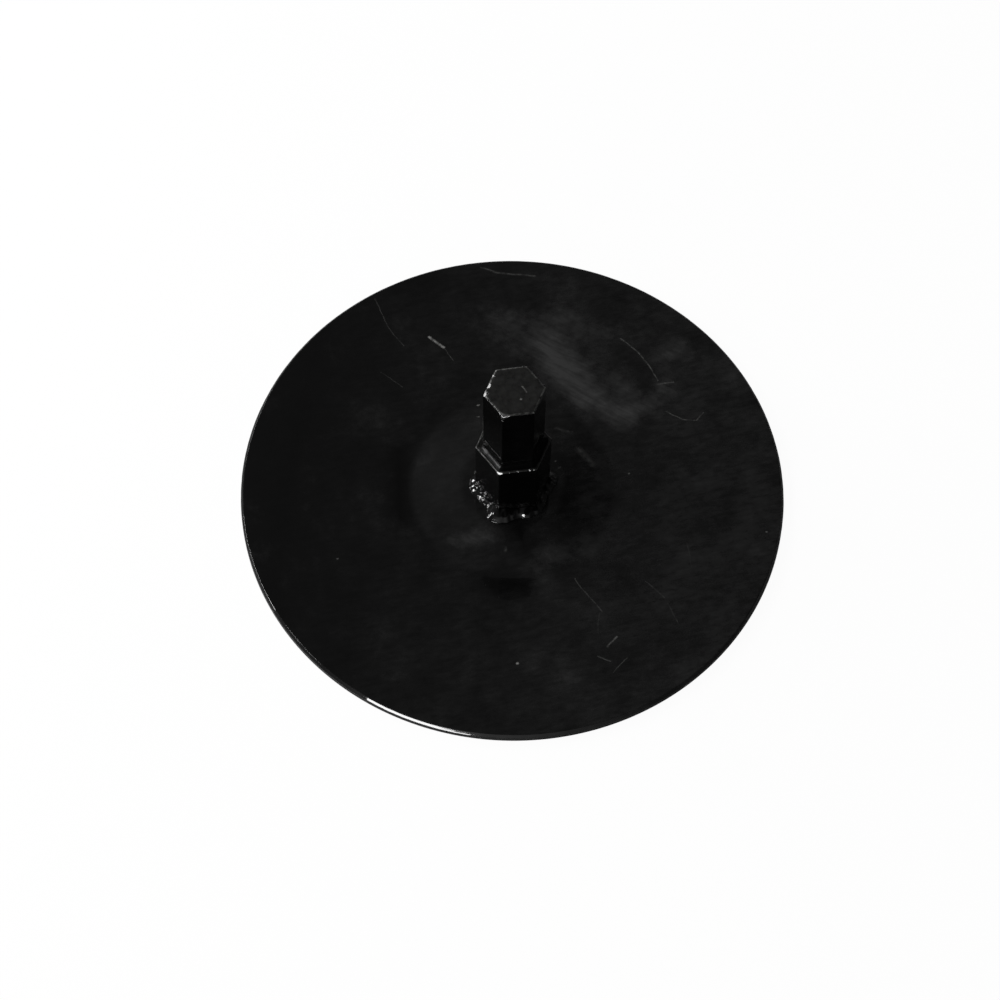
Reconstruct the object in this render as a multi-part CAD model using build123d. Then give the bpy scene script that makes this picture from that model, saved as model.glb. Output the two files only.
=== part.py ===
"""Round cutter disc with a stepped hexagonal drive stub, welded from three pieces of steel stock.

Millimetres. The axis of the disc is Z, the flat underside of the rim is z = 0 and the stub points
up. A corner of both hexagons points along +X and a flat of both faces +Y.
"""
import os
from math import atan2, sin, sqrt, tan

from build123d import *

# Pressed disc: flat plate with a low raised boss in the middle
disc_diameter = 250.0
plate_thickness = 4.0
edge_bevel = 1.2
boss_rise = 3.0
boss_foot_diameter = 94.0
boss_land_margin = 3.0
press_bend_radius = 25.0

# Hexagonal bar that carries the drive, and the hexagonal tube that holds it
stub_across_flats = 24.0
stub_projection = 45.0
stub_corner_radius = 0.5
stub_end_round = 0.5
collar_fit_clearance = 0.1
collar_wall = 2.9
collar_length = 37.0
collar_corner_radius = 0.8
collar_end_round = 0.6

# Hand-run bead at the foot of the collar, a row of puddles that each overlap the one before
base_weld_leg = 3.2
base_weld_height = 2.6
puddle_radius = 7.0
puddle_pitch = 5.2
puddle_unevenness = 0.2

# Low, slightly hollow bead on the ledge where the bar leaves the collar
bare_ledge = 1.0
ledge_weld_height = 1.4
ledge_weld_hollow = 0.12

# Heights and sizes that follow from the ones above
land_height = plate_thickness + boss_rise
collar_top = land_height + collar_length
collar_bore_across_flats = stub_across_flats + 2 * collar_fit_clearance
collar_across_flats = collar_bore_across_flats + 2 * collar_wall
ledge_width = (collar_across_flats - stub_across_flats) / 2
ledge_weld_leg = ledge_width - bare_ledge
weld_reach = collar_across_flats / sqrt(3) + base_weld_leg + puddle_unevenness
land_radius = weld_reach + boss_land_margin


def hexagon(across_flats):
    """Flat hexagon on the XY plane with a corner on +X."""
    return RegularPolygon(across_flats / 2, 6, major_radius=False)


def hexagon_bar(across_flats, length, corner_radius, end_round):
    """Upright hexagonal bar standing on the boss, with rounded long corners and upper end."""
    bar = extrude(hexagon(across_flats), amount=length)
    bar = fillet(bar.edges().filter_by(Axis.Z), corner_radius)
    bar = fillet(bar.faces().sort_by(Axis.Z)[-1].edges(), end_round)
    return Pos(0, 0, land_height) * bar


def pressed_disc():
    """Plate of one thickness whose middle is pressed up into a low cone with a flat land."""
    rim_radius = disc_diameter / 2
    foot_radius = boss_foot_diameter / 2
    flank_angle = atan2(boss_rise, foot_radius - land_radius)
    bend_shift = plate_thickness * tan(flank_angle / 2)
    outer_bend = press_bend_radius + plate_thickness
    upper = FilletPolyline(
        (0, land_height),
        (land_radius, land_height),
        (foot_radius, plate_thickness),
        (rim_radius - edge_bevel, plate_thickness),
        radius=[outer_bend, press_bend_radius],
    )
    edge = Polyline(
        (rim_radius - edge_bevel, plate_thickness),
        (rim_radius, plate_thickness - edge_bevel),
        (rim_radius, 0),
    )
    lower = FilletPolyline(
        (0, boss_rise),
        (land_radius - bend_shift, boss_rise),
        (foot_radius - bend_shift, 0),
        (rim_radius, 0),
        radius=[press_bend_radius, outer_bend],
    )
    axis_line = Line((0, boss_rise), (0, land_height))
    section = make_face(upper.edges() + edge.edges() + lower.edges() + axis_line.edges())
    return revolve(Plane.XZ * section, Axis.Z)


def collar_outside():
    """Collar before it is bored, also used to trim the base weld against it."""
    return hexagon_bar(collar_across_flats, collar_length, collar_corner_radius, collar_end_round)


def hex_collar():
    """Length of hexagonal tube standing on the boss; the bar is pushed down inside it."""
    bore = extrude(hexagon(collar_bore_across_flats), amount=collar_length)
    return collar_outside() - Pos(0, 0, land_height) * bore


def hex_stub():
    """Solid hexagonal bar from the boss up through the collar to the free drive end."""
    stub_length = collar_length + stub_projection
    return hexagon_bar(stub_across_flats, stub_length, stub_corner_radius, stub_end_round)


def base_weld():
    """Fillet bead round the foot of the collar, from the land up to its height on the flats.

    Each puddle is a ball through the bead's two toes, with its poles along the bead, where its
    neighbours hide them. Its centre lies below the land and inside the collar's wall.
    """
    face_width = sqrt(base_weld_leg**2 + base_weld_height**2)
    depth = sqrt(puddle_radius**2 - face_width**2 / 4)
    centre_out = base_weld_leg / 2 - depth * base_weld_height / face_width
    centre_up = base_weld_height / 2 - depth * base_weld_leg / face_width
    side_length = (collar_across_flats + 2 * centre_out) / sqrt(3)
    side_count = max(1, round(side_length / puddle_pitch))
    puddles = []
    for side in range(6):
        for step in range(side_count):
            number = side * side_count + step
            swell = puddle_unevenness * sin(number**2)
            along = side_length * (step / side_count - 1 / 2)
            puddle = Rot(0, 90, 0) * Sphere(puddle_radius + swell)
            puddle = Pos(along, -collar_across_flats / 2 - centre_out, centre_up) * puddle
            puddles.append(Rot(0, 0, 60 * side) * puddle)
    bead = Pos(0, 0, land_height) * (Part() + puddles)
    bead = split(bead, bisect_by=Plane.XY.offset(land_height), keep=Keep.TOP)
    return bead - collar_outside()


def ledge_weld():
    """Slightly hollow bead swept round the bar, in its angle with the top of the collar."""
    outline = fillet(hexagon(stub_across_flats).vertices(), stub_corner_radius)
    path = Pos(0, 0, collar_top) * outline.wire()
    along = path % 0
    across = Plane(origin=path @ 0, x_dir=along.cross(Vector(0, 0, 1)), z_dir=-along)
    face_width = sqrt(ledge_weld_leg**2 + ledge_weld_height**2)
    throat_out = ledge_weld_leg / 2 - ledge_weld_hollow * ledge_weld_height / face_width
    throat_up = ledge_weld_height / 2 - ledge_weld_hollow * ledge_weld_leg / face_width
    seat = Polyline((0, ledge_weld_height), (0, 0), (ledge_weld_leg, 0))
    face = ThreePointArc((ledge_weld_leg, 0), (throat_out, throat_up), (0, ledge_weld_height))
    section = across * make_face(seat.edges() + face.edges())
    return sweep(section, path)


pieces = {
    "disc": pressed_disc(),
    "hex_collar": hex_collar(),
    "hex_stub": hex_stub(),
    "base_weld": base_weld(),
    "ledge_weld": ledge_weld(),
}

os.makedirs("parts", exist_ok=True)
for node, shape in pieces.items():
    export_step(shape, f"parts/{node}.step")
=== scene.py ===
"""Black painted brush cutter disc with a stepped hexagonal drive stub, seen from above on white.

Metres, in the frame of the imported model: z = 0 is the underside of the rim, +Z is the axis.
"""
import math

import bpy
from mathutils import Matrix, Vector, noise


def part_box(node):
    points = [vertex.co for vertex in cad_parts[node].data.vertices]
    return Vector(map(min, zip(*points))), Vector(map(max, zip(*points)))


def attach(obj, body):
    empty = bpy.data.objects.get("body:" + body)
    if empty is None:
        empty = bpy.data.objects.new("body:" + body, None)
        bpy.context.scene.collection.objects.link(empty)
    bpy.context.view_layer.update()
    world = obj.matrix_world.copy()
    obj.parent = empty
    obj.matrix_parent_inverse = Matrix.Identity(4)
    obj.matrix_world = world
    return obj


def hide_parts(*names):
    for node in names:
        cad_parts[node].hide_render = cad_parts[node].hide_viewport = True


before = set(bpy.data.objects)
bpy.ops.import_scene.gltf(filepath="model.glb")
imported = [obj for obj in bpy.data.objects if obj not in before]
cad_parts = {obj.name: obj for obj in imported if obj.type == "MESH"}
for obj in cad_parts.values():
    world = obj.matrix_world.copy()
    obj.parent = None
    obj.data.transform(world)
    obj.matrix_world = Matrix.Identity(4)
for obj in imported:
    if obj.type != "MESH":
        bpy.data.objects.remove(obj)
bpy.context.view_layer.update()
MM = 0.001


# Pressed disc. A 4 mm steel plate, cut round, its middle pressed up into a low boss and its top
# edge ground to a small bevel by hand, then sprayed with black gloss enamel like everything on it.
# Handling has left it dusty, finely scratched and wiped with a rag. Its colour also holds a painted
# sheen on the wiped dust, painted glints and highlights, and painted dark reflections round the boss.
disc_low, disc_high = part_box("disc")
rim_radius = (disc_high.x - disc_low.x) / 2
land_height = disc_high.z
plate_thickness = 4.0 * MM
edge_bevel_width = 1.1 * MM
edge_bevel_depth = 1.3 * MM
edge_arris = 0.25 * MM
grind_unevenness = 0.12 * MM
boss_rise = land_height - plate_thickness
boss_foot_radius = 47.0 * MM
boss_land_radius = 23.7 * MM
press_bend_radius = 25.0 * MM
disc_segments = 600


def mesh_piece(name, points, faces):
    """New object at the origin, smooth shaded, from points in metres and faces that face outwards."""
    mesh = bpy.data.meshes.new(name)
    mesh.from_pydata(points, [], faces)
    mesh.shade_smooth()
    piece = bpy.data.objects.new(name, mesh)
    bpy.context.scene.collection.objects.link(piece)
    return piece


def stretch(start, finish, steps):
    """Points between two points, both left out, closer together towards the ends to hold an edge."""
    shares = [(1 - math.cos(math.pi * i / steps)) / 2 for i in range(1, steps)]
    return [start.lerp(finish, share) for share in shares]


def bend(before, corner, after, radius, steps=6):
    """Points of the arc that rounds one corner of a section."""
    back = (before - corner).normalized()
    ahead = (after - corner).normalized()
    half_angle = back.angle(ahead) / 2
    centre = corner + (back + ahead).normalized() * radius / math.sin(half_angle)
    first = corner + back * radius / math.tan(half_angle)
    last = corner + ahead * radius / math.tan(half_angle)
    arc = []
    for i in range(steps + 1):
        spoke = (first - centre).slerp(last - centre, i / steps)
        arc.append(centre + radius * spoke.normalized())
    return arc


def disc_section():
    """Half section of the disc as (radius, height) points, from beside the axis on top to below."""
    flank = math.atan2(boss_rise, boss_foot_radius - boss_land_radius)
    shift = plate_thickness * math.tan(flank / 2)
    outer_bend = press_bend_radius + plate_thickness
    top_centre = Vector((0, land_height))
    land_edge = Vector((boss_land_radius, land_height))
    foot = Vector((boss_foot_radius, plate_thickness))
    bevel_top = Vector((rim_radius - edge_bevel_width, plate_thickness))
    bevel_end = Vector((rim_radius, plate_thickness - edge_bevel_depth))
    rim_foot = Vector((rim_radius, 0))
    under_foot = Vector((boss_foot_radius - shift, 0))
    under_land = Vector((boss_land_radius - shift, boss_rise))
    under_centre = Vector((0, boss_rise))
    runs = [
        [top_centre],
        bend(top_centre, land_edge, foot, outer_bend),
        bend(land_edge, foot, bevel_top, press_bend_radius),
        bend(foot, bevel_top, bevel_end, edge_arris, 3),
        bend(bevel_top, bevel_end, rim_foot, edge_arris, 3),
        bend(bevel_end, rim_foot, under_foot, edge_arris, 3),
        bend(rim_foot, under_foot, under_land, outer_bend),
        bend(under_foot, under_land, under_centre, press_bend_radius),
        [under_centre],
    ]
    steps_between = [6, 6, 20, 3, 4, 14, 5, 5]
    section = []
    for here, ahead, steps in zip(runs, runs[1:], steps_between):
        section += here + stretch(here[-1], ahead[0], steps)
    return section[1:]


def turned_points(section):
    """Ring of points for each section point, uneven by some hundredths where the edge was ground."""
    rings = []
    for point in section:
        ground = point.x > rim_radius - 1.5 * edge_bevel_depth and point.y > 0.2 * plate_thickness
        for i in range(disc_segments):
            angle = 2 * math.pi * i / disc_segments
            spot = Vector((math.cos(angle), math.sin(angle), 0))
            radius = point.x
            if ground:
                wander = 0.5 + 0.4 * noise.noise(spot * 7) + 0.4 * noise.noise(spot * 40)
                radius -= grind_unevenness * max(0, wander)
            rings.append((radius * spot.x, radius * spot.y, point.y))
    return rings


def lathe_faces(ring_count, segments):
    """Quads between neighbouring rings, with a fan to a centre point above and one below."""
    top_centre = ring_count * segments
    faces = []
    for i in range(segments):
        j = (i + 1) % segments
        faces.append((top_centre, i, j))
        for ring in range(ring_count - 1):
            here = ring * segments
            ahead = here + segments
            faces.append((here + i, ahead + i, ahead + j, here + j))
        last = (ring_count - 1) * segments
        faces.append((top_centre + 1, last + j, last + i))
    return faces


section = disc_section()
points = turned_points(section)
points += [(0, 0, land_height), (0, 0, boss_rise)]
disc = mesh_piece("pressed_disc", points, lathe_faces(len(section), disc_segments))


def linear(hex_colour):
    """Linear RGBA of an sRGB colour written as #rrggbb."""
    channels = []
    for i in (1, 3, 5):
        c = int(hex_colour[i:i + 2], 16) / 255
        channels.append(c / 12.92 if c <= 0.04045 else ((c + 0.055) / 1.055) ** 2.4)
    return (*channels, 1.0)


def add(tree, kind, inputs=(), **settings):
    """New node with its settings, its inputs set to values or linked to other nodes' outputs."""
    node = tree.nodes.new(kind)
    for key, value in settings.items():
        setattr(node, key, value)
    for key, value in dict(inputs).items():
        if isinstance(value, bpy.types.NodeSocket):
            tree.links.new(value, node.inputs[key])
        else:
            node.inputs[key].default_value = value
    return node


def new_material(name):
    """Empty node material and its tree."""
    material = bpy.data.materials.new(name)
    material.use_nodes = True
    material.node_tree.nodes.clear()
    return material, material.node_tree


# Black gloss enamel over steel: a near-black body, a soft sheen from its grained face and a thin
# clear skin that mirrors the room sharply but dimly.
ENAMEL_BLACK = linear("#030303")
ENAMEL_SPECULAR = 0.04
ENAMEL_ROUGHNESS = 0.40
ENAMEL_COAT = 0.9
ENAMEL_COAT_ROUGHNESS = 0.045


def enamel_shader(tree, colour, roughness, normal,
                  coat=ENAMEL_COAT, coat_roughness=ENAMEL_COAT_ROUGHNESS):
    """Finish a tree with the enamel's shader."""
    shader = add(tree, "ShaderNodeBsdfPrincipled", {
        "Base Color": colour,
        "Roughness": roughness,
        "Specular IOR Level": ENAMEL_SPECULAR,
        "Coat Weight": coat,
        "Coat Roughness": coat_roughness,
        "Normal": normal,
        "Coat Normal": normal,
    })
    add(tree, "ShaderNodeOutputMaterial", {"Surface": shader.outputs["BSDF"]})


def scratch_group():
    """Node group: how strongly a point lies on one straight scratch of a given half width."""
    tree = bpy.data.node_groups.new("scratch", "ShaderNodeTree")
    for label in ("Point", "Start", "End"):
        tree.interface.new_socket(label, in_out="INPUT", socket_type="NodeSocketVector")
    for label in ("Width", "Strength"):
        tree.interface.new_socket(label, in_out="INPUT", socket_type="NodeSocketFloat")
    tree.interface.new_socket("Mask", in_out="OUTPUT", socket_type="NodeSocketFloat")
    given = add(tree, "NodeGroupInput").outputs
    run = add(tree, "ShaderNodeVectorMath", {0: given["End"], 1: given["Start"]},
              operation="SUBTRACT").outputs["Vector"]
    off = add(tree, "ShaderNodeVectorMath", {0: given["Point"], 1: given["Start"]},
              operation="SUBTRACT").outputs["Vector"]
    dot = add(tree, "ShaderNodeVectorMath", {0: off, 1: run}, operation="DOT_PRODUCT")
    square = add(tree, "ShaderNodeVectorMath", {0: run, 1: run}, operation="DOT_PRODUCT")
    share = add(tree, "ShaderNodeMath", {0: dot.outputs["Value"], 1: square.outputs["Value"]},
                operation="DIVIDE", use_clamp=True)
    near = add(tree, "ShaderNodeVectorMath", {0: run, "Scale": share.outputs[0]}, operation="SCALE")
    gap = add(tree, "ShaderNodeVectorMath", {0: off, 1: near.outputs["Vector"]}, operation="DISTANCE")
    line = add(tree, "ShaderNodeMapRange", {
        "Value": gap.outputs["Value"],
        "From Max": given["Width"],
        "To Min": given["Strength"],
        "To Max": 0.0,
    })
    add(tree, "NodeGroupOutput", {"Mask": line.outputs["Result"]})
    return tree


scratch = scratch_group()


def stroke_masks(tree, flat, marks):
    """Strongest of a list of marks at a flat place; each runs through its points in millimetres."""
    flat = add(tree, "ShaderNodeVectorMath", {0: flat, 1: (1, 1, 0)},
               operation="MULTIPLY").outputs["Vector"]
    strongest = None
    for width, strength, *route in marks:
        for start, end in zip(route, route[1:]):
            line = add(tree, "ShaderNodeGroup", {"Point": flat}, node_tree=scratch)
            line.inputs["Start"].default_value = (start[0] * MM, start[1] * MM, 0)
            line.inputs["End"].default_value = (end[0] * MM, end[1] * MM, 0)
            line.inputs["Width"].default_value = width * MM
            line.inputs["Strength"].default_value = strength
            mask = line.outputs["Mask"]
            if strongest is not None:
                mask = add(tree, "ShaderNodeMath", {0: strongest, 1: mask},
                           operation="MAXIMUM").outputs[0]
            strongest = mask
    return strongest


def line_marks(tree, place, marks):
    """Scratches, specks and painted glints at a place, bent by about a millimetre and broken up by a
    fine grain.
    """
    wander = add(tree, "ShaderNodeTexNoise", {
        "Vector": place, "Scale": 1 / (14 * MM), "Detail": 2.0,
    }).outputs["Color"]
    wander = add(tree, "ShaderNodeVectorMath", {0: wander, 1: (0.5, 0.5, 0.5)},
                 operation="SUBTRACT").outputs["Vector"]
    bent = add(tree, "ShaderNodeVectorMath", {0: wander, 1: (3 * MM, 3 * MM, 0), 2: place},
               operation="MULTIPLY_ADD").outputs["Vector"]
    grain = add(tree, "ShaderNodeTexNoise", {
        "Vector": place, "Scale": 1 / (1.8 * MM), "Detail": 3.0,
    }).outputs["Fac"]
    broken = add(tree, "ShaderNodeMapRange", {
        "Value": grain, "From Min": 0.36, "From Max": 0.62, "To Min": 0.2,
    }).outputs["Result"]
    lines = stroke_masks(tree, bent, marks)
    return add(tree, "ShaderNodeMath", {0: lines, 1: broken}, operation="MULTIPLY").outputs[0]


# Scratches that catch the light, and two painted highlights: half width in mm, strength, then the
# points each runs through.
DISC_SCRATCHES_AND_HIGHLIGHTS = [
    (0.35, 0.12, (-52, 110), (-47, 93), (-41, 81)),
    (0.80, 0.80, (-28, 85), (-22, 78)),
    (0.35, 0.15, (-22, 78), (-19, 71)),
    (0.35, 0.07, (-53, 68), (-44, 59)),
    (0.70, 0.14, (1, 121), (9, 117), (26, 113)),
    (0.45, 0.22, (62, 72), (67.5, 65), (72.5, 55.5), (75, 47)),
    (0.60, 0.22, (75, 45), (83, 45)),
    (0.40, 0.20, (77, 30), (84, 24), (90, 23), (94, 27)),
    (0.35, 0.16, (21, -51), (31, -69)),
    (0.30, 0.08, (30, -70), (28, -79)),
    (0.35, 0.13, (53, -57), (60, -66)),
    (0.30, 0.10, (61, -69), (64, -79)),
    (0.50, 0.34, (31, -86), (36, -82)),
    (0.40, 0.16, (26, -90), (31, -93)),
    (0.35, 0.16, (31, -99), (39, -92)),
    (0.35, 0.06, (75, -40), (75, -52)),
    # Painted highlights: two smears of light on the boss to the right of the collar.
    (2.20, 0.10, (33, 14), (38, 6)),
    (1.20, 0.07, (24, 27), (31, 24)),
]

# Single grains of dust, and painted glints of weld spatter, written as scratches of almost no length.
DISC_SPECKS_AND_GLINTS = [
    (0.75, 1.00, (-10.0, -89), (-9.7, -89)),
    (0.55, 0.45, (112.0, -39), (112.3, -39)),
    (0.55, 0.35, (-84.0, -27), (-83.7, -27)),
    (0.60, 0.35, (54.0, -1), (54.3, -1)),
    # Painted glints of weld spatter: two left of the bar, two right of the collar.
    (0.65, 0.45, (-10.0, 45), (-9.5, 45)),
    (0.55, 0.30, (-10.5, 38), (-10.2, 38)),
    (0.60, 0.45, (21.0, 9), (21.2, 9)),
    (0.60, 0.35, (22.5, 5), (23.5, 5)),
    (1.00, 0.12, (-8.4, -34), (-8.2, -33)),
]


# Broad strokes of a dusty rag, which also carry a painted sheen where the wiped paint glows in the
# light: half width in mm, strength, then the points each runs through.
RAG_DUST_AND_SHEEN_STROKES = [
    (15, 0.50, (4, 90), (14, 84), (24, 75)),
    (17, 0.95, (24, 75), (35, 55), (41, 43)),
    (12, 0.75, (41, 43), (52, 33), (60, 30)),
    (11, 0.60, (60, 30), (71, 36), (79, 47)),
    (10, 0.55, (79, 60), (91, 64)),
    (22, 0.40, (43, 60), (64, 42)),
    (15, 0.30, (21, 92), (52, 80), (64, 77)),
    (8, 0.50, (-32, -24), (-25, -26), (-13, -26)),
    (10, 0.50, (12, -40), (30, -37)),
]

# Painted dark reflections round the boss, where the dust film is taken away: half width in mm,
# strength, then the points each runs through.
DARK_REFLECTION_PATCHES = [
    (10, 1.0, (-50, 24), (-53, -10)),
    (11, 0.8, (-16, -48), (-3, -51)),
    (9, 0.8, (0, -24), (1, -32)),
]


def disc_enamel():
    """Enamel wiped with a dry rag: a film of dust with painted sheen, fine hairlines, blotches and
    scratches, and painted highlights, glints and dark reflections.
    """
    material, tree = new_material("black_gloss_enamel_wiped_with_painted_sheen")
    place = add(tree, "ShaderNodeTexCoord").outputs["Object"]
    # The wisps of dust and painted sheen run from the back left to the front right, a few millimetres
    # apart.
    along_wipe = add(tree, "ShaderNodeMapping", {
        "Vector": place,
        "Rotation": (0, 0, math.radians(-38)),
        "Scale": (18 * MM, 2.2 * MM, 1),
    }, vector_type="TEXTURE").outputs["Vector"]
    wisps = add(tree, "ShaderNodeTexNoise", {
        "Vector": along_wipe, "Scale": 1.0, "Detail": 6.0, "Roughness": 0.66, "Distortion": 0.6,
    }).outputs["Fac"]
    wisps = add(tree, "ShaderNodeMapRange", {
        "Value": wisps, "From Min": 0.34, "From Max": 0.66, "To Min": 0.4, "To Max": 1.1,
    }).outputs["Result"]
    blotch = add(tree, "ShaderNodeTexNoise", {
        "Vector": place, "Scale": 1 / (26 * MM), "Detail": 8.0, "Roughness": 0.72,
    }).outputs["Fac"]
    drawn_out = add(tree, "ShaderNodeMapping", {
        "Vector": place,
        "Rotation": (0, 0, math.radians(6)),
        "Scale": (8 * MM, 2.6 * MM, 1),
    }, vector_type="TEXTURE").outputs["Vector"]
    mottle = add(tree, "ShaderNodeTexNoise", {
        "Vector": drawn_out, "Scale": 1.0, "Detail": 5.0, "Roughness": 0.68,
    }).outputs["Fac"]
    mottle = add(tree, "ShaderNodeMapRange", {
        "Value": mottle, "From Min": 0.3, "From Max": 0.7, "To Min": 0.55, "To Max": 1.45,
    }).outputs["Result"]
    # Its dust and painted sheen are thickest where the strokes turned, and thin out to bare paint
    # through blotches.
    rag_dust_and_sheen = stroke_masks(tree, place, RAG_DUST_AND_SHEEN_STROKES)
    ragged = add(tree, "ShaderNodeMath", {0: blotch, 1: 1.6, 2: rag_dust_and_sheen},
                 operation="MULTIPLY_ADD").outputs[0]
    rag_dust_and_sheen = add(tree, "ShaderNodeMapRange", {
        "Value": ragged, "From Min": 0.85, "From Max": 1.85,
    }, interpolation_type="SMOOTHSTEP").outputs["Result"]
    wisp_dust_and_sheen = add(tree, "ShaderNodeMath", {0: rag_dust_and_sheen, 1: wisps}, operation="MULTIPLY").outputs[0]
    # A thinner pale film lies all over, more of it to the right and front.
    across = add(tree, "ShaderNodeVectorMath", {0: place, 1: (0.95, -0.25, 0)},
                 operation="DOT_PRODUCT").outputs["Value"]
    thin = add(tree, "ShaderNodeMapRange", {
        "Value": across, "From Min": -100 * MM, "From Max": 110 * MM, "To Min": 0.015, "To Max": 0.38,
    }).outputs["Result"]
    patchy = add(tree, "ShaderNodeMapRange", {
        "Value": blotch, "From Min": 0.3, "From Max": 0.7, "To Min": 0.3, "To Max": 1.3,
    }).outputs["Result"]
    thin = add(tree, "ShaderNodeMath", {0: thin, 1: patchy}, operation="MULTIPLY").outputs[0]
    # Painted dark reflections: the thin film is taken away where they lie, so the paint shows darker.
    dark_reflections = stroke_masks(tree, place, DARK_REFLECTION_PATCHES)
    outside_dark_reflections = add(tree, "ShaderNodeMath", {0: 1.0, 1: dark_reflections}, operation="SUBTRACT").outputs[0]
    thin = add(tree, "ShaderNodeMath", {0: thin, 1: outside_dark_reflections}, operation="MULTIPLY").outputs[0]
    dust_and_sheen = add(tree, "ShaderNodeMath", {0: thin, 1: mottle, 2: wisp_dust_and_sheen},
               operation="MULTIPLY_ADD", use_clamp=True).outputs[0]
    # Scratches and dust, with the painted highlights and glints among them.
    marks_and_glints = line_marks(tree, place, DISC_SCRATCHES_AND_HIGHLIGHTS + DISC_SPECKS_AND_GLINTS)
    greyed = add(tree, "ShaderNodeMix", {
        "Factor": dust_and_sheen, 6: ENAMEL_BLACK, 7: linear("#333333"),
    }, data_type="RGBA").outputs[2]
    marked_and_glinting = add(tree, "ShaderNodeMix", {
        "Factor": marks_and_glints, 6: greyed, 7: linear("#8c8c8a"),
    }, data_type="RGBA").outputs[2]
    dull = add(tree, "ShaderNodeMapRange", {
        "Value": blotch, "From Min": 0.25, "From Max": 0.75,
        "To Min": ENAMEL_ROUGHNESS - 0.08, "To Max": ENAMEL_ROUGHNESS + 0.08,
    }).outputs["Result"]
    # Pressing left the sheet dished by some tenths round the boss, and the weld's heat pulled it
    # into low waves near the middle.
    waves = add(tree, "ShaderNodeTexNoise", {
        "Vector": place, "Scale": 1 / (11 * MM), "Detail": 2.0,
    }).outputs["Fac"]
    flat_place = add(tree, "ShaderNodeVectorMath", {0: place, 1: (1, 1, 0)},
                     operation="MULTIPLY").outputs["Vector"]
    from_axis = add(tree, "ShaderNodeVectorMath", {0: flat_place},
                    operation="LENGTH").outputs["Value"]
    warp = add(tree, "ShaderNodeMapRange", {
        "Value": from_axis, "From Min": 26 * MM, "From Max": 46 * MM, "To Min": 1.0, "To Max": 0.25,
    }, interpolation_type="SMOOTHSTEP").outputs["Result"]
    waves = add(tree, "ShaderNodeMath", {0: waves, 1: warp}, operation="MULTIPLY").outputs[0]
    dish = add(tree, "ShaderNodeMapRange", {
        "Value": from_axis, "From Min": 44 * MM, "From Max": 68 * MM, "To Max": 0.4 * MM,
    }, interpolation_type="SMOOTHSTEP").outputs["Result"]
    height = add(tree, "ShaderNodeMath", {0: waves, 1: 0.12 * MM, 2: dish},
                 operation="MULTIPLY_ADD").outputs[0]
    normal = add(tree, "ShaderNodeBump", {"Height": height, "Distance": 1.0}).outputs["Normal"]
    enamel_shader(tree, marked_and_glinting, dull, normal)
    return material


disc.data.materials.append(disc_enamel())
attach(disc, "root")
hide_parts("disc")


# Hexagonal collar. A length of drawn steel tube, 30 mm across its flats, standing on the boss. Its
# long corners and upper end are slightly rounded, and the paint gathers and glints along them; a
# painted highlight lies along its upper edge.
collar_low, collar_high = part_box("hex_collar")
collar_across_flats = collar_high.y - collar_low.y
collar_bore_across_flats = 24.2 * MM
collar_corner_radius = 0.8 * MM
collar_arris = [(0.0, 0.6), (0.05, 0.36), (0.18, 0.17), (0.36, 0.05), (0.6, 0.0)]
collar_edge_unevenness = 0.10 * MM
bore_corner_radius = 0.2 * MM
sharp_corner_radius = 0.1 * MM
HEX_SIDES = 6
SIDE_ROWS = 25


def hexagon_ring(across_flats, corner_radius, height, corner_steps=6, flat_steps=60):
    """Closed ring of points: a hexagon with a rounded corner on +X, anticlockwise from above."""
    turn = 2 * math.pi / HEX_SIDES
    arc_centre = (across_flats / 2 - corner_radius) / math.cos(turn / 2)
    arcs = []
    for side in range(HEX_SIDES):
        middle = side * turn
        centre = Vector((arc_centre * math.cos(middle), arc_centre * math.sin(middle), height))
        arc = []
        for step in range(corner_steps + 1):
            angle = middle + turn * (step / corner_steps - 0.5)
            arc.append(centre + corner_radius * Vector((math.cos(angle), math.sin(angle), 0)))
        arcs.append(arc)
    ring = []
    for arc, ahead in zip(arcs, arcs[1:] + arcs[:1]):
        ring += arc + stretch(arc[-1], ahead[0], flat_steps)
    return ring


def hexagon_rows(across_flats, corner_radius, low, high, arris, unevenness):
    """Rings up the outside of a hexagonal bar and over its uneven upper edge.

    The arris steps from the flats to the end face, each step an inset and a drop in millimetres.
    """
    edge_depth = arris[0][1] * MM
    shares = [(1 - math.cos(math.pi * i / (SIDE_ROWS - 1))) / 2 for i in range(SIDE_ROWS)]
    heights = [low + (high - edge_depth - low) * share for share in shares]
    rows = [hexagon_ring(across_flats, corner_radius, height) for height in heights]
    for inset, drop in arris[1:]:
        radius = max(corner_radius - inset * MM, sharp_corner_radius)
        rows.append(hexagon_ring(across_flats - 2 * inset * MM, radius, high - drop * MM))
    for row in rows:
        for point in row:
            near_arris = max(0, 1 - abs(high - point.z - edge_depth / 2) / edge_depth)
            dent = 0.5 + 0.5 * noise.noise(point / (1.6 * MM)) + 0.9 * noise.noise(point / (3.5 * MM))
            dent = unevenness * near_arris * max(0, dent)
            point -= dent * Vector((point.x, point.y, 0)).normalized()
            point.z -= dent
    return rows


def on_hexagon(across_flats, corners_round):
    """Place on a hexagon's outline, counted in corners anticlockwise from the one on +X."""
    corner = math.floor(corners_round)
    ends = []
    for number in (corner, corner + 1):
        angle = 2 * math.pi * number / HEX_SIDES
        ends.append(Vector((math.cos(angle), math.sin(angle), 0)) * across_flats / math.sqrt(3))
    return ends[0].lerp(ends[1], corners_round - corner)


def knock_edge(rows, across_flats, height, knocks):
    """Flatten an upper edge where it was struck.

    Each knock: corners round from +X, the way the flat faces, its depth and half length in mm.
    """
    for corners_round, facing, depth, reach in knocks:
        place = on_hexagon(across_flats, corners_round)
        place.z = height
        facing = Vector(facing).normalized()
        for row in rows:
            for point in row:
                proud = (point - place).dot(facing) + depth * MM
                if proud > 0 and (point - place).length < reach * MM:
                    point -= proud * facing


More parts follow.
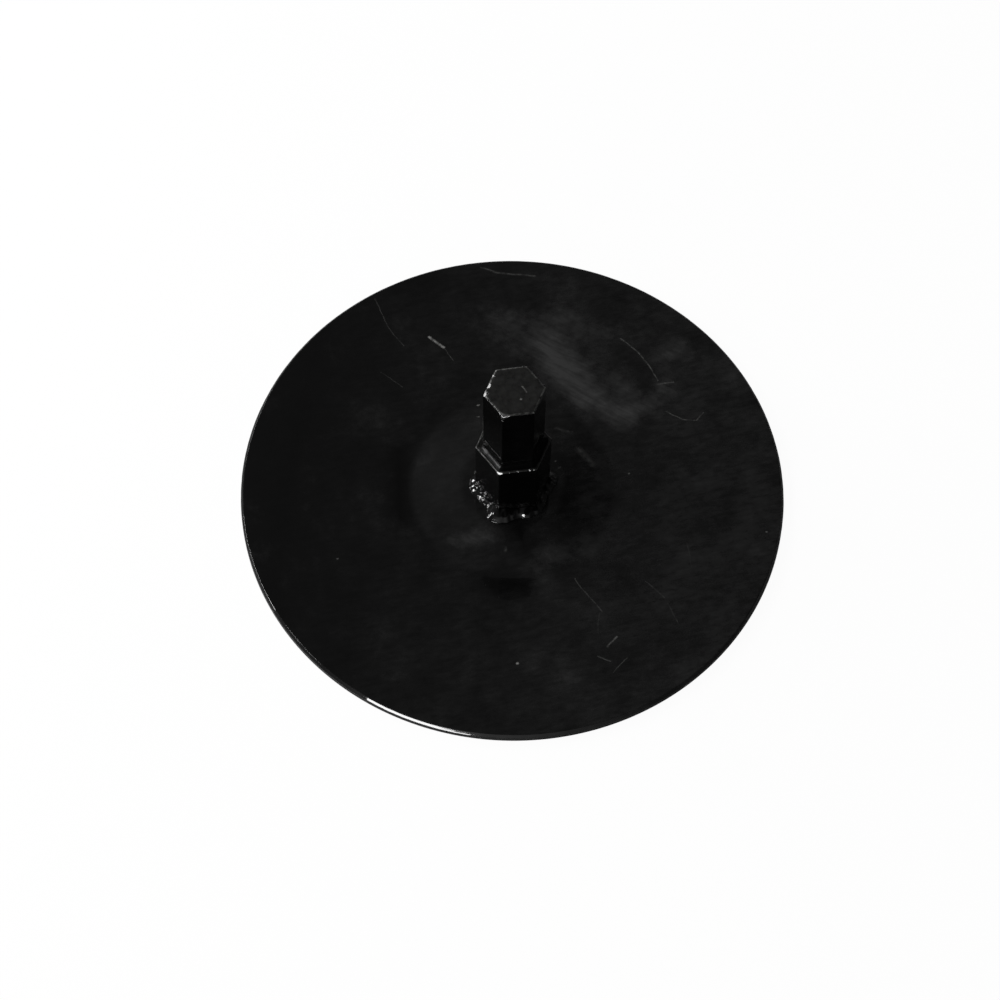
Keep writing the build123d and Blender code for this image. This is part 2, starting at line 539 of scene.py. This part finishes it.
def join_rows(rows, closed):
    """Points and quads of a skin over rings of one length, facing outwards where they go up."""
    count = len(rows[0])
    pairs = list(zip(range(len(rows)), range(1, len(rows))))
    if closed:
        pairs.append((len(rows) - 1, 0))
    faces = []
    for low, high in pairs:
        for i in range(count):
            j = (i + 1) % count
            faces.append((low * count + i, low * count + j, high * count + j, high * count + i))
    return [point for row in rows for point in row], faces


def mark_edge_highlight(piece, rows, arris):
    """Store where the painted highlight lies: 1 on the rows of the upper edge, 0 elsewhere."""
    highlit_rows = range(SIDE_ROWS + 1, SIDE_ROWS + len(arris) - 2)
    highlit = [float(i in highlit_rows) for i, row in enumerate(rows) for point in row]
    highlit += [0.0] * (len(piece.data.vertices) - len(highlit))
    piece.data.attributes.new("painted_edge_highlight", "FLOAT", "POINT").data.foreach_set("value", highlit)


# Knocks from handling along the collar's front edge, the largest on its front left corner.
FRONT_LEFT_UP = (-0.35, -0.66, 0.545)
COLLAR_KNOCKS = [
    (4.00, FRONT_LEFT_UP, 1.0, 4.0),
    (4.27, FRONT_LEFT_UP, 0.4, 0.7),
    (4.49, FRONT_LEFT_UP, 0.5, 0.9),
    (4.80, FRONT_LEFT_UP, 0.5, 0.9),
    (4.91, FRONT_LEFT_UP, 0.4, 0.7),
]
rows = hexagon_rows(collar_across_flats, collar_corner_radius, collar_low.z, collar_high.z,
                    collar_arris, collar_edge_unevenness)
knock_edge(rows, collar_across_flats, collar_high.z, COLLAR_KNOCKS)
rows.append(hexagon_ring(collar_bore_across_flats, bore_corner_radius, collar_high.z))
rows.append(hexagon_ring(collar_bore_across_flats, bore_corner_radius, collar_low.z))
points, faces = join_rows(rows, closed=True)
collar = mesh_piece("hexagonal_collar", points, faces)
mark_edge_highlight(collar, rows, collar_arris)


def hexagon_enamel(name, end_height, end_marks, edge_highlight):
    """Enamel on drawn stock: glossy and slightly lumpy on the flats, dull and grey on a sawn end.

    Along the upper edge a painted highlight lies in patches, by the given share.
    """
    material, tree = new_material(name)
    place = add(tree, "ShaderNodeTexCoord").outputs["Object"]
    peel = add(tree, "ShaderNodeTexNoise", {
        "Vector": place, "Scale": 1 / (2.5 * MM), "Detail": 3.0, "Roughness": 0.55,
    }).outputs["Fac"]
    lumps = add(tree, "ShaderNodeTexNoise", {
        "Vector": place, "Scale": 1 / (9 * MM), "Detail": 2.0,
    }).outputs["Fac"]
    # The sawn end face is mixed towards grey in patches.
    height = add(tree, "ShaderNodeSeparateXYZ", {"Vector": place}).outputs["Z"]
    on_end = add(tree, "ShaderNodeMapRange", {
        "Value": height, "From Min": end_height - 0.35 * MM, "From Max": end_height - 0.1 * MM,
    }).outputs["Result"]
    end_grey = add(tree, "ShaderNodeMath", {0: peel, 1: on_end}, operation="MULTIPLY").outputs[0]
    greyed = add(tree, "ShaderNodeMix", {
        "Factor": end_grey, 6: linear("#010101"), 7: linear("#2a2a29"),
    }, data_type="RGBA").outputs[2]
    marks = line_marks(tree, place, end_marks)
    marks = add(tree, "ShaderNodeMath", {0: marks, 1: on_end}, operation="MULTIPLY").outputs[0]
    colour = add(tree, "ShaderNodeMix", {
        "Factor": marks, 6: greyed, 7: linear("#8c8c8a"),
    }, data_type="RGBA").outputs[2]
    highlit = add(tree, "ShaderNodeAttribute", attribute_name="painted_edge_highlight").outputs["Fac"]
    edge_glint = add(tree, "ShaderNodeMapRange", {
        "Value": peel, "From Min": 0.4, "From Max": 0.64, "To Min": 0.03, "To Max": edge_highlight,
    }).outputs["Result"]
    edge_glint = add(tree, "ShaderNodeMath", {0: edge_glint, 1: highlit}, operation="MULTIPLY").outputs[0]
    colour = add(tree, "ShaderNodeMix", {
        "Factor": edge_glint, 6: colour, 7: linear("#787876"),
    }, data_type="RGBA").outputs[2]
    flats = add(tree, "ShaderNodeMapRange", {
        "Value": lumps, "From Min": 0.3, "From Max": 0.7,
        "To Min": 0.22, "To Max": 0.30,
    }).outputs["Result"]
    roughness = add(tree, "ShaderNodeMath", {0: on_end, 1: 0.20, 2: flats},
                    operation="MULTIPLY_ADD").outputs[0]
    normal = add(tree, "ShaderNodeBump", {
        "Height": lumps, "Strength": 0.5, "Distance": 0.12 * MM,
    }).outputs["Normal"]
    enamel_shader(tree, colour, roughness, normal)
    return material


COLLAR_MARKS = [(0.3, 0.3, (-14, 3), (-12, 6))]
# The collar's upper edge carries a faint painted highlight.
collar_paint = hexagon_enamel("black_gloss_enamel_on_tube", collar_high.z, COLLAR_MARKS,
                              edge_highlight=0.10)
collar.data.materials.append(collar_paint)
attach(collar, "root")
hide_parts("hex_collar")


# Hexagonal stub. A solid 24 mm bar pushed down inside the collar to the boss, its sawn upper end
# free: this is what the machine drives. The saw left a ragged edge under the paint.
stub_low, stub_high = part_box("hex_stub")
stub_across_flats = stub_high.y - stub_low.y
stub_corner_radius = 0.55 * MM
stub_arris = [(0.0, 0.7), (0.05, 0.45), (0.18, 0.22), (0.4, 0.08), (0.7, 0.015), (1.0, 0.0)]
stub_edge_unevenness = 0.12 * MM
end_face_insets = (1.4 * MM, 1.9 * MM, 3 * MM, 6 * MM)

# Knocks on the bar's front left corner and along its back left edge.
BACK_LEFT_UP = (-0.28, 0.10, 0.95)
STUB_KNOCKS = [
    (4.00, FRONT_LEFT_UP, 1.5, 4.0),
    (2.05, BACK_LEFT_UP, 0.4, 0.9),
    (2.25, BACK_LEFT_UP, 0.5, 1.1),
    (2.63, BACK_LEFT_UP, 0.5, 1.7),
    (2.95, BACK_LEFT_UP, 0.9, 1.6),
]
rows = hexagon_rows(stub_across_flats, stub_corner_radius, stub_low.z, stub_high.z,
                    stub_arris, stub_edge_unevenness)
for inset in end_face_insets:
    rows.append(hexagon_ring(stub_across_flats - 2 * inset, sharp_corner_radius, stub_high.z))
knock_edge(rows, stub_across_flats, stub_high.z, STUB_KNOCKS)
points, faces = join_rows(rows, closed=False)
ring_size = len(rows[0])
last_row = (len(rows) - 1) * ring_size
low_centre = len(points)
points += [Vector((0, 0, stub_low.z)), Vector((0, 0, stub_high.z))]
for i in range(ring_size):
    j = (i + 1) % ring_size
    faces.append((low_centre, j, i))
    faces.append((low_centre + 1, last_row + i, last_row + j))
stub = mesh_piece("hexagonal_stub", points, faces)
mark_edge_highlight(stub, rows, stub_arris)

STUB_END_MARKS = [
    (0.45, 0.45, (3.0, 1.5), (4.5, -1.5)),
    (0.50, 0.60, (1.8, -4.4), (2.0, -4.4)),
]
# The bar's upper edge carries a brighter painted highlight.
stub_paint = hexagon_enamel("black_gloss_enamel_on_bar", stub_high.z, STUB_END_MARKS,
                            edge_highlight=0.36)
stub.data.materials.append(stub_paint)
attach(stub, "root")
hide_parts("hex_stub")


# Base weld. A fillet bead run by hand round the foot of the collar, a lumpy row of overlapping
# puddles, heavier by the front left corner where its start and end meet, and painted with the rest.
base_weld_leg = 3.2 * MM
base_weld_height = 2.6 * MM
base_weld_bulge = 0.42 * MM
puddle_pitch = 5.2 * MM


def weld_bead_tree():
    """Geometry nodes: a bead's section drawn round a hexagon, with ripples, lumps and a heavy spot.

    The section comes from the object's own mesh, a closed loop whose origin is the angle that the
    bead fills, with its crown attribute 1 in the middle of the bead's face and 0 at the toes.
    """
    tree = bpy.data.node_groups.new("hand_run_weld_bead", "GeometryNodeTree")
    tree.interface.new_socket("Section", in_out="INPUT", socket_type="NodeSocketGeometry")
    for label in ("Across Flats", "Corner Radius", "Foot Height", "Ripples", "Ripple Depth",
                  "Lump Size", "Lump Depth", "Unevenness", "Seed", "Heavy Share", "Heavy Reach"):
        tree.interface.new_socket(label, in_out="INPUT", socket_type="NodeSocketFloat")
    tree.interface.new_socket("Heavy Spot", in_out="INPUT", socket_type="NodeSocketVector")
    tree.interface.new_socket("Paint", in_out="INPUT", socket_type="NodeSocketMaterial")
    tree.interface.new_socket("Bead", in_out="OUTPUT", socket_type="NodeSocketGeometry")
    given = add(tree, "NodeGroupInput").outputs
    corner = add(tree, "ShaderNodeMath", {0: given["Across Flats"], 1: math.sqrt(3)},
                 operation="DIVIDE")
    hexagon = add(tree, "GeometryNodeCurvePrimitiveCircle", {
        "Resolution": HEX_SIDES, "Radius": corner.outputs[0],
    }, mode="RADIUS")
    rounded = add(tree, "GeometryNodeFilletCurve", {
        "Curve": hexagon.outputs["Curve"], "Count": 8, "Radius": given["Corner Radius"],
    }, mode="POLY")
    lift = add(tree, "ShaderNodeCombineXYZ", {"Z": given["Foot Height"]})
    lifted = add(tree, "GeometryNodeTransform", {
        "Geometry": rounded.outputs["Curve"], "Translation": lift.outputs["Vector"],
    })
    path = add(tree, "GeometryNodeResampleCurve", {
        "Curve": lifted.outputs["Geometry"], "Length": 0.22 * MM,
    }, mode="LENGTH")
    upright = add(tree, "GeometryNodeSetCurveNormal", {"Curve": path.outputs["Curve"]}, mode="Z_UP")
    measured = add(tree, "GeometryNodeCaptureAttribute")
    measured.capture_items.new("FLOAT", "Along")
    tree.links.new(upright.outputs["Curve"], measured.inputs["Geometry"])
    run = add(tree, "GeometryNodeSplineParameter")
    tree.links.new(run.outputs["Factor"], measured.inputs["Along"])
    place = add(tree, "GeometryNodeInputPosition").outputs["Position"]
    seeded = add(tree, "ShaderNodeVectorMath", {0: place, 1: given["Seed"]}, operation="ADD")
    lump_scale = add(tree, "ShaderNodeMath", {0: 1.0, 1: given["Lump Size"]}, operation="DIVIDE")
    lumps = add(tree, "ShaderNodeTexNoise", {
        "Vector": seeded.outputs["Vector"], "Scale": lump_scale.outputs[0], "Detail": 1.0,
    }).outputs["Fac"]
    swell = add(tree, "ShaderNodeMath", {0: lumps, 1: 0.5}, operation="SUBTRACT").outputs[0]
    width = add(tree, "ShaderNodeMath", {0: swell, 1: given["Unevenness"], 2: 1.0},
                operation="MULTIPLY_ADD").outputs[0]
    from_spot = add(tree, "ShaderNodeVectorMath", {0: place, 1: given["Heavy Spot"]},
                    operation="DISTANCE")
    heavy = add(tree, "ShaderNodeMapRange", {
        "Value": from_spot.outputs["Value"],
        "From Max": given["Heavy Reach"],
        "To Min": given["Heavy Share"],
        "To Max": 0.0,
    }, interpolation_type="SMOOTHSTEP").outputs["Result"]
    width = add(tree, "ShaderNodeMath", {0: width, 1: heavy}, operation="ADD").outputs[0]
    outline = add(tree, "GeometryNodeMeshToCurve", {"Mesh": given["Section"]})
    swept = add(tree, "GeometryNodeCurveToMesh", {
        "Curve": measured.outputs["Geometry"],
        "Profile Curve": outline.outputs["Curve"],
        "Scale": width,
    })
    crown = add(tree, "GeometryNodeInputNamedAttribute", {"Name": "crown"}, data_type="FLOAT")
    crown = crown.outputs["Attribute"]
    # Each ripple is a crescent: its ends at the toes trail behind its middle.
    bow = add(tree, "ShaderNodeMath", {0: crown, 1: 0.4}, operation="MULTIPLY").outputs[0]
    beat = add(tree, "ShaderNodeMath", {0: measured.outputs["Along"], 1: given["Ripples"], 2: bow},
               operation="MULTIPLY_ADD").outputs[0]
    beat = add(tree, "ShaderNodeMath", {0: swell, 1: 1.5, 2: beat},
               operation="MULTIPLY_ADD").outputs[0]
    wave = add(tree, "ShaderNodeMath", {0: beat, 1: math.pi}, operation="MULTIPLY").outputs[0]
    wave = add(tree, "ShaderNodeMath", {0: wave}, operation="SINE").outputs[0]
    ridge = add(tree, "ShaderNodeMath", {0: wave}, operation="ABSOLUTE").outputs[0]
    ridge = add(tree, "ShaderNodeMath", {0: ridge, 1: given["Ripple Depth"]},
                operation="MULTIPLY").outputs[0]
    raised = add(tree, "ShaderNodeMath", {0: swell, 1: given["Lump Depth"], 2: ridge},
                 operation="MULTIPLY_ADD").outputs[0]
    raised = add(tree, "ShaderNodeMath", {0: raised, 1: crown}, operation="MULTIPLY").outputs[0]
    outward = add(tree, "GeometryNodeInputNormal").outputs["Normal"]
    push = add(tree, "ShaderNodeVectorMath", {0: outward, "Scale": raised}, operation="SCALE")
    rippled = add(tree, "GeometryNodeSetPosition", {
        "Geometry": swept.outputs["Mesh"], "Offset": push.outputs["Vector"],
    })
    smooth = add(tree, "GeometryNodeSetShadeSmooth", {"Geometry": rippled.outputs["Geometry"]})
    plain = add(tree, "GeometryNodeRealizeInstances", {"Geometry": smooth.outputs["Geometry"]})
    painted = add(tree, "GeometryNodeSetMaterial", {
        "Geometry": plain.outputs["Geometry"], "Material": given["Paint"],
    })
    add(tree, "NodeGroupOutput", {"Bead": painted.outputs["Geometry"]})
    return tree


def bead_section(name, leg, height, bulge, steps=18):
    """Object whose mesh is the closed section of a bead: legs along X and Y, face bulging out."""
    toe = Vector((leg, 0, 0))
    crest = Vector((0, height, 0))
    outward = Vector((height, leg, 0)).normalized()
    points = [Vector((0, 0, 0))]
    crowns = [0.0]
    for i in range(steps + 1):
        rise = math.sin(math.pi * i / steps)
        points.append(toe.lerp(crest, i / steps) + outward * bulge * rise)
        crowns.append(rise)
    count = len(points)
    mesh = bpy.data.meshes.new(name)
    loop = [(i, (i + 1) % count) for i in range(count)]
    mesh.from_pydata([(p.x, -p.y, 0) for p in points], loop, [])
    mesh.attributes.new("crown", "FLOAT", "POINT").data.foreach_set("value", crowns)
    piece = bpy.data.objects.new(name, mesh)
    bpy.context.scene.collection.objects.link(piece)
    return piece


def grow(piece, tree, sizes):
    """Run a geometry nodes tree on a piece with its named sizes and keep the result as its mesh."""
    modifier = piece.modifiers.new(tree.name, "NODES")
    modifier.node_group = tree
    for socket in tree.interface.items_tree:
        if socket.in_out == "INPUT" and socket.name in sizes:
            modifier[socket.identifier] = sizes[socket.name]
    evaluated = piece.evaluated_get(bpy.context.evaluated_depsgraph_get())
    mesh = bpy.data.meshes.new_from_object(evaluated)
    piece.modifiers.clear()
    piece.data = mesh


def weld_enamel(name, coat, coat_roughness):
    """Enamel over weld metal, sooty in patches and pitted where slag came off."""
    material, tree = new_material(name)
    place = add(tree, "ShaderNodeTexCoord").outputs["Object"]
    pits = add(tree, "ShaderNodeTexNoise", {
        "Vector": place, "Scale": 1 / (0.9 * MM), "Detail": 3.0, "Roughness": 0.6,
    }).outputs["Fac"]
    soot = add(tree, "ShaderNodeTexNoise", {
        "Vector": place, "Scale": 1 / (4 * MM), "Detail": 3.0,
    }).outputs["Fac"]
    colour = add(tree, "ShaderNodeMix", {
        "Factor": soot, 6: linear("#010101"), 7: linear("#060606"),
    }, data_type="RGBA").outputs[2]
    roughness = add(tree, "ShaderNodeMapRange", {
        "Value": soot, "From Min": 0.3, "From Max": 0.7, "To Min": 0.12, "To Max": 0.26,
    }).outputs["Result"]
    normal = add(tree, "ShaderNodeBump", {
        "Height": pits, "Strength": 0.06, "Distance": 0.12 * MM,
    }).outputs["Normal"]
    enamel_shader(tree, colour, roughness, normal, coat, coat_roughness)
    return material


# The paint ran down and lies thick and wet on the lower bead.
weld_paint = weld_enamel("black_gloss_enamel_over_weld", ENAMEL_COAT, ENAMEL_COAT_ROUGHNESS)
bead_tree = weld_bead_tree()
base_weld = bead_section("base_weld_bead", base_weld_leg, base_weld_height, base_weld_bulge)
grow(base_weld, bead_tree, {
    "Across Flats": collar_across_flats,
    "Corner Radius": collar_corner_radius,
    "Foot Height": land_height,
    "Ripples": round(collar_across_flats * 2 * math.sqrt(3) / puddle_pitch),
    "Ripple Depth": 0.34 * MM,
    "Lump Size": 6.5 * MM,
    "Lump Depth": 0.8 * MM,
    "Unevenness": 1.5,
    "Seed": 23.0,
    "Heavy Share": 0.5,
    "Heavy Reach": 8.0 * MM,
    "Heavy Spot": on_hexagon(collar_across_flats, 4.12) + Vector((0, 0, land_height)),
    "Paint": weld_paint,
})
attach(base_weld, "root")
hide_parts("base_weld")


# Ledge weld. A smaller hollow bead that joins the bar to the top of the collar, laid on the ledge
# so that a millimetre of the tube's end stays bare outside it.
ledge_weld_leg = 2.0 * MM
ledge_weld_height = 1.4 * MM
ledge_weld_hollow = 0.06 * MM
ledge_ripple_pitch = 2.2 * MM

# The paint drained off the upper bead, so it is thin and satin there.
ledge_paint = weld_enamel("black_satin_enamel_over_weld", 0.20, 0.24)
ledge_weld = bead_section("ledge_weld_bead", ledge_weld_leg, ledge_weld_height, -ledge_weld_hollow)
grow(ledge_weld, bead_tree, {
    "Across Flats": stub_across_flats,
    "Corner Radius": stub_corner_radius,
    "Foot Height": collar_high.z,
    "Ripples": round(stub_across_flats * 2 * math.sqrt(3) / ledge_ripple_pitch),
    "Ripple Depth": 0.012 * MM,
    "Lump Size": 5.0 * MM,
    "Lump Depth": 0.2 * MM,
    "Unevenness": 0.3,
    "Seed": 8.0,
    "Heavy Share": 0.0,
    "Heavy Reach": 1.0 * MM,
    "Paint": ledge_paint,
})
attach(ledge_weld, "root")
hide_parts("ledge_weld")


# Paint drops. Enamel that ran together and dried as drops on the edges of bar and tube, about a
# millimetre across; they catch the light as single bright dots.
drop_standout = 0.3


def paint_drop_tree():
    """Geometry nodes: a ball on each point of the piece, as large as the point's size says."""
    tree = bpy.data.node_groups.new("paint_drops", "GeometryNodeTree")
    tree.interface.new_socket("Places", in_out="INPUT", socket_type="NodeSocketGeometry")
    tree.interface.new_socket("Paint", in_out="INPUT", socket_type="NodeSocketMaterial")
    tree.interface.new_socket("Drops", in_out="OUTPUT", socket_type="NodeSocketGeometry")
    given = add(tree, "NodeGroupInput").outputs
    ball = add(tree, "GeometryNodeMeshIcoSphere", {"Radius": 1.0, "Subdivisions": 4})
    smooth = add(tree, "GeometryNodeSetShadeSmooth", {"Geometry": ball.outputs["Mesh"]})
    size = add(tree, "GeometryNodeInputNamedAttribute", {"Name": "size"}, data_type="FLOAT")
    drops = add(tree, "GeometryNodeInstanceOnPoints", {
        "Points": given["Places"],
        "Instance": smooth.outputs["Geometry"],
        "Scale": size.outputs["Attribute"],
    })
    plain = add(tree, "GeometryNodeRealizeInstances", {"Geometry": drops.outputs["Instances"]})
    painted = add(tree, "GeometryNodeSetMaterial", {
        "Geometry": plain.outputs["Geometry"], "Material": given["Paint"],
    })
    add(tree, "NodeGroupOutput", {"Drops": painted.outputs["Geometry"]})
    return tree


# Each drop: corners round from +X, depth below the end and radius in mm.
STUB_DROPS = [(3.25, 0.0, 0.5), (4.0, 3.4, 0.7), (0.1, 0.0, 0.6), (1.1, 0.0, 0.5)]
COLLAR_DROPS = [(2.48, 0.0, 0.6), (2.55, 0.0, 0.5), (3.0, 22.0, 0.7), (0.0, 0.4, 0.5)]
drop_tree = paint_drop_tree()
for name, across_flats, end_height, drops in (
    ("stub_paint_drops", stub_across_flats, stub_high.z, STUB_DROPS),
    ("collar_paint_drops", collar_across_flats, collar_high.z, COLLAR_DROPS),
):
    places = []
    for corners_round, depth, radius in drops:
        place = on_hexagon(across_flats - 2 * (radius - drop_standout) * MM, corners_round)
        place.z = end_height - (depth + radius) * MM
        places.append(place)
    piece = mesh_piece(name, places, [])
    sizes = [radius * MM for corners_round, depth, radius in drops]
    piece.data.attributes.new("size", "FLOAT", "POINT").data.foreach_set("value", sizes)
    grow(piece, drop_tree, {"Paint": weld_paint})
    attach(piece, "root")


# Floor and light. A white sheet under the part, a soft box on the left, four small bright windows
# on the left and in front, pale walls that darken to the right and a dark ceiling: flat black paint
# stays dark and its edges on the left shine.
floor_half = 4.0
paper_glow = 0.96
window_distance = 2.0
floor = mesh_piece("floor", [
    (-floor_half, -floor_half, 0), (floor_half, -floor_half, 0),
    (floor_half, floor_half, 0), (-floor_half, floor_half, 0),
], [(0, 1, 2, 3)])
# Matt white paper: plain white to the eye, and grey where it lights the part or mirrors in it.
floor_paper, tree = new_material("white_paper")
ray = add(tree, "ShaderNodeLightPath").outputs
white_share = add(tree, "ShaderNodeMath", {0: ray["Is Camera Ray"], 1: paper_glow},
                  operation="MULTIPLY")
shade = add(tree, "ShaderNodeMix", {
    "Factor": ray["Is Camera Ray"], 6: linear("#8c8c8c"), 7: linear("#f4f4f4"),
}, data_type="RGBA").outputs[2]
paper = add(tree, "ShaderNodeBsdfDiffuse", {"Color": shade})
white = add(tree, "ShaderNodeEmission", {"Color": linear("#ffffff"), "Strength": 1.0})
sheet = add(tree, "ShaderNodeMixShader", {
    0: white_share.outputs[0], 1: paper.outputs["BSDF"], 2: white.outputs["Emission"],
})
add(tree, "ShaderNodeOutputMaterial", {"Surface": sheet.outputs["Shader"]})
floor.data.materials.append(floor_paper)

# The photograph's view: from above, turned a little to the left of the flats that face -Y.
view_height = math.radians(61.75)
view_turn = math.radians(-8.46)
view_roll = math.radians(0.89)
view_distance = 1.1086
view_target = Vector((-6.68, -6.67, 4.0)) * MM
to_right = Vector((math.cos(view_turn), math.sin(view_turn), 0))
to_front = Vector((math.sin(view_turn), -math.cos(view_turn), 0))
to_camera = to_front * math.cos(view_height) + Vector((0, 0, math.sin(view_height)))
picture_up = to_camera.cross(to_right)


def window(name, round_from_left, height_angle, width, height, radiance, mirrored=True):
    """Rectangular soft light aimed at the disc; its bearing goes from the left round to the front.

    One that isn't mirrored lights the part without showing in its gloss.
    """
    lamp = bpy.data.lights.new(name, "AREA")
    lamp.shape = "RECTANGLE"
    lamp.size = width
    lamp.size_y = height
    lamp.energy = radiance * math.pi * width * height
    holder = bpy.data.objects.new(name, lamp)
    bearing = math.radians(round_from_left)
    level = to_front * math.sin(bearing) - to_right * math.cos(bearing)
    climb = math.radians(height_angle)
    aim = level * math.cos(climb) + Vector((0, 0, math.sin(climb)))
    holder.location = window_distance * aim
    holder.rotation_mode = "QUATERNION"
    holder.rotation_quaternion = (-holder.location).to_track_quat("-Z", "Y")
    holder.visible_glossy = mirrored
    bpy.context.scene.collection.objects.link(holder)


window("left_soft_box", -24, 28.5, width=2.36, height=0.45, radiance=13.2, mirrored=False)
window("back_left_window", -50, 42, width=0.30, height=0.30, radiance=15.0)
window("left_window", -5, 9, width=0.96, height=0.28, radiance=26.0)
window("side_window", 16, 36, width=0.42, height=0.26, radiance=24.0)
window("front_left_window", 62.5, 9, width=1.2, height=0.22, radiance=26.0)

# The walls are dim far to the left, palest in front and behind, and dark on the right.
world = bpy.data.worlds.new("pale_walls_dark_ceiling")
world.use_nodes = True
tree = world.node_tree
tree.nodes.clear()
direction = add(tree, "ShaderNodeTexCoord").outputs["Generated"]
upward = add(tree, "ShaderNodeSeparateXYZ", {"Vector": direction}).outputs["Z"]
rightward = add(tree, "ShaderNodeVectorMath", {0: direction, 1: to_right},
                operation="DOT_PRODUCT").outputs["Value"]
left_side = add(tree, "ShaderNodeMapRange", {
    "Value": rightward, "From Min": -0.8, "From Max": -0.2, "To Min": 0.12, "To Max": 0.45,
}).outputs["Result"]
side = add(tree, "ShaderNodeMapRange", {
    "Value": rightward, "From Min": 0.0, "From Max": 0.7, "To Min": left_side, "To Max": 0.05,
}).outputs["Result"]
ceiling = add(tree, "ShaderNodeMapRange", {
    "Value": rightward, "From Min": -0.30, "From Max": 0.25, "To Min": 0.115, "To Max": 0.005,
}).outputs["Result"]
wall = add(tree, "ShaderNodeMapRange", {
    "Value": upward, "From Min": 0.4, "From Max": 0.7, "To Min": side, "To Max": ceiling,
}, interpolation_type="SMOOTHSTEP").outputs["Result"]
room = add(tree, "ShaderNodeBackground", {"Color": linear("#ffffff"), "Strength": wall})
add(tree, "ShaderNodeOutputWorld", {"Surface": room.outputs["Background"]})
bpy.context.scene.world = world

camera = bpy.data.cameras.new("camera")
camera.lens = 86.97
camera.sensor_width = 36.0
camera.clip_start = 0.01
camera_holder = bpy.data.objects.new("camera", camera)
right_axis = to_right * math.cos(view_roll) + picture_up * math.sin(view_roll)
up_axis = picture_up * math.cos(view_roll) - to_right * math.sin(view_roll)
turned = Matrix((right_axis, up_axis, to_camera)).transposed().to_4x4()
camera_holder.matrix_world = Matrix.Translation(view_target + to_camera * view_distance) @ turned
bpy.context.scene.collection.objects.link(camera_holder)
bpy.context.scene.camera = camera_holder
bpy.context.scene.view_settings.view_transform = "Standard"
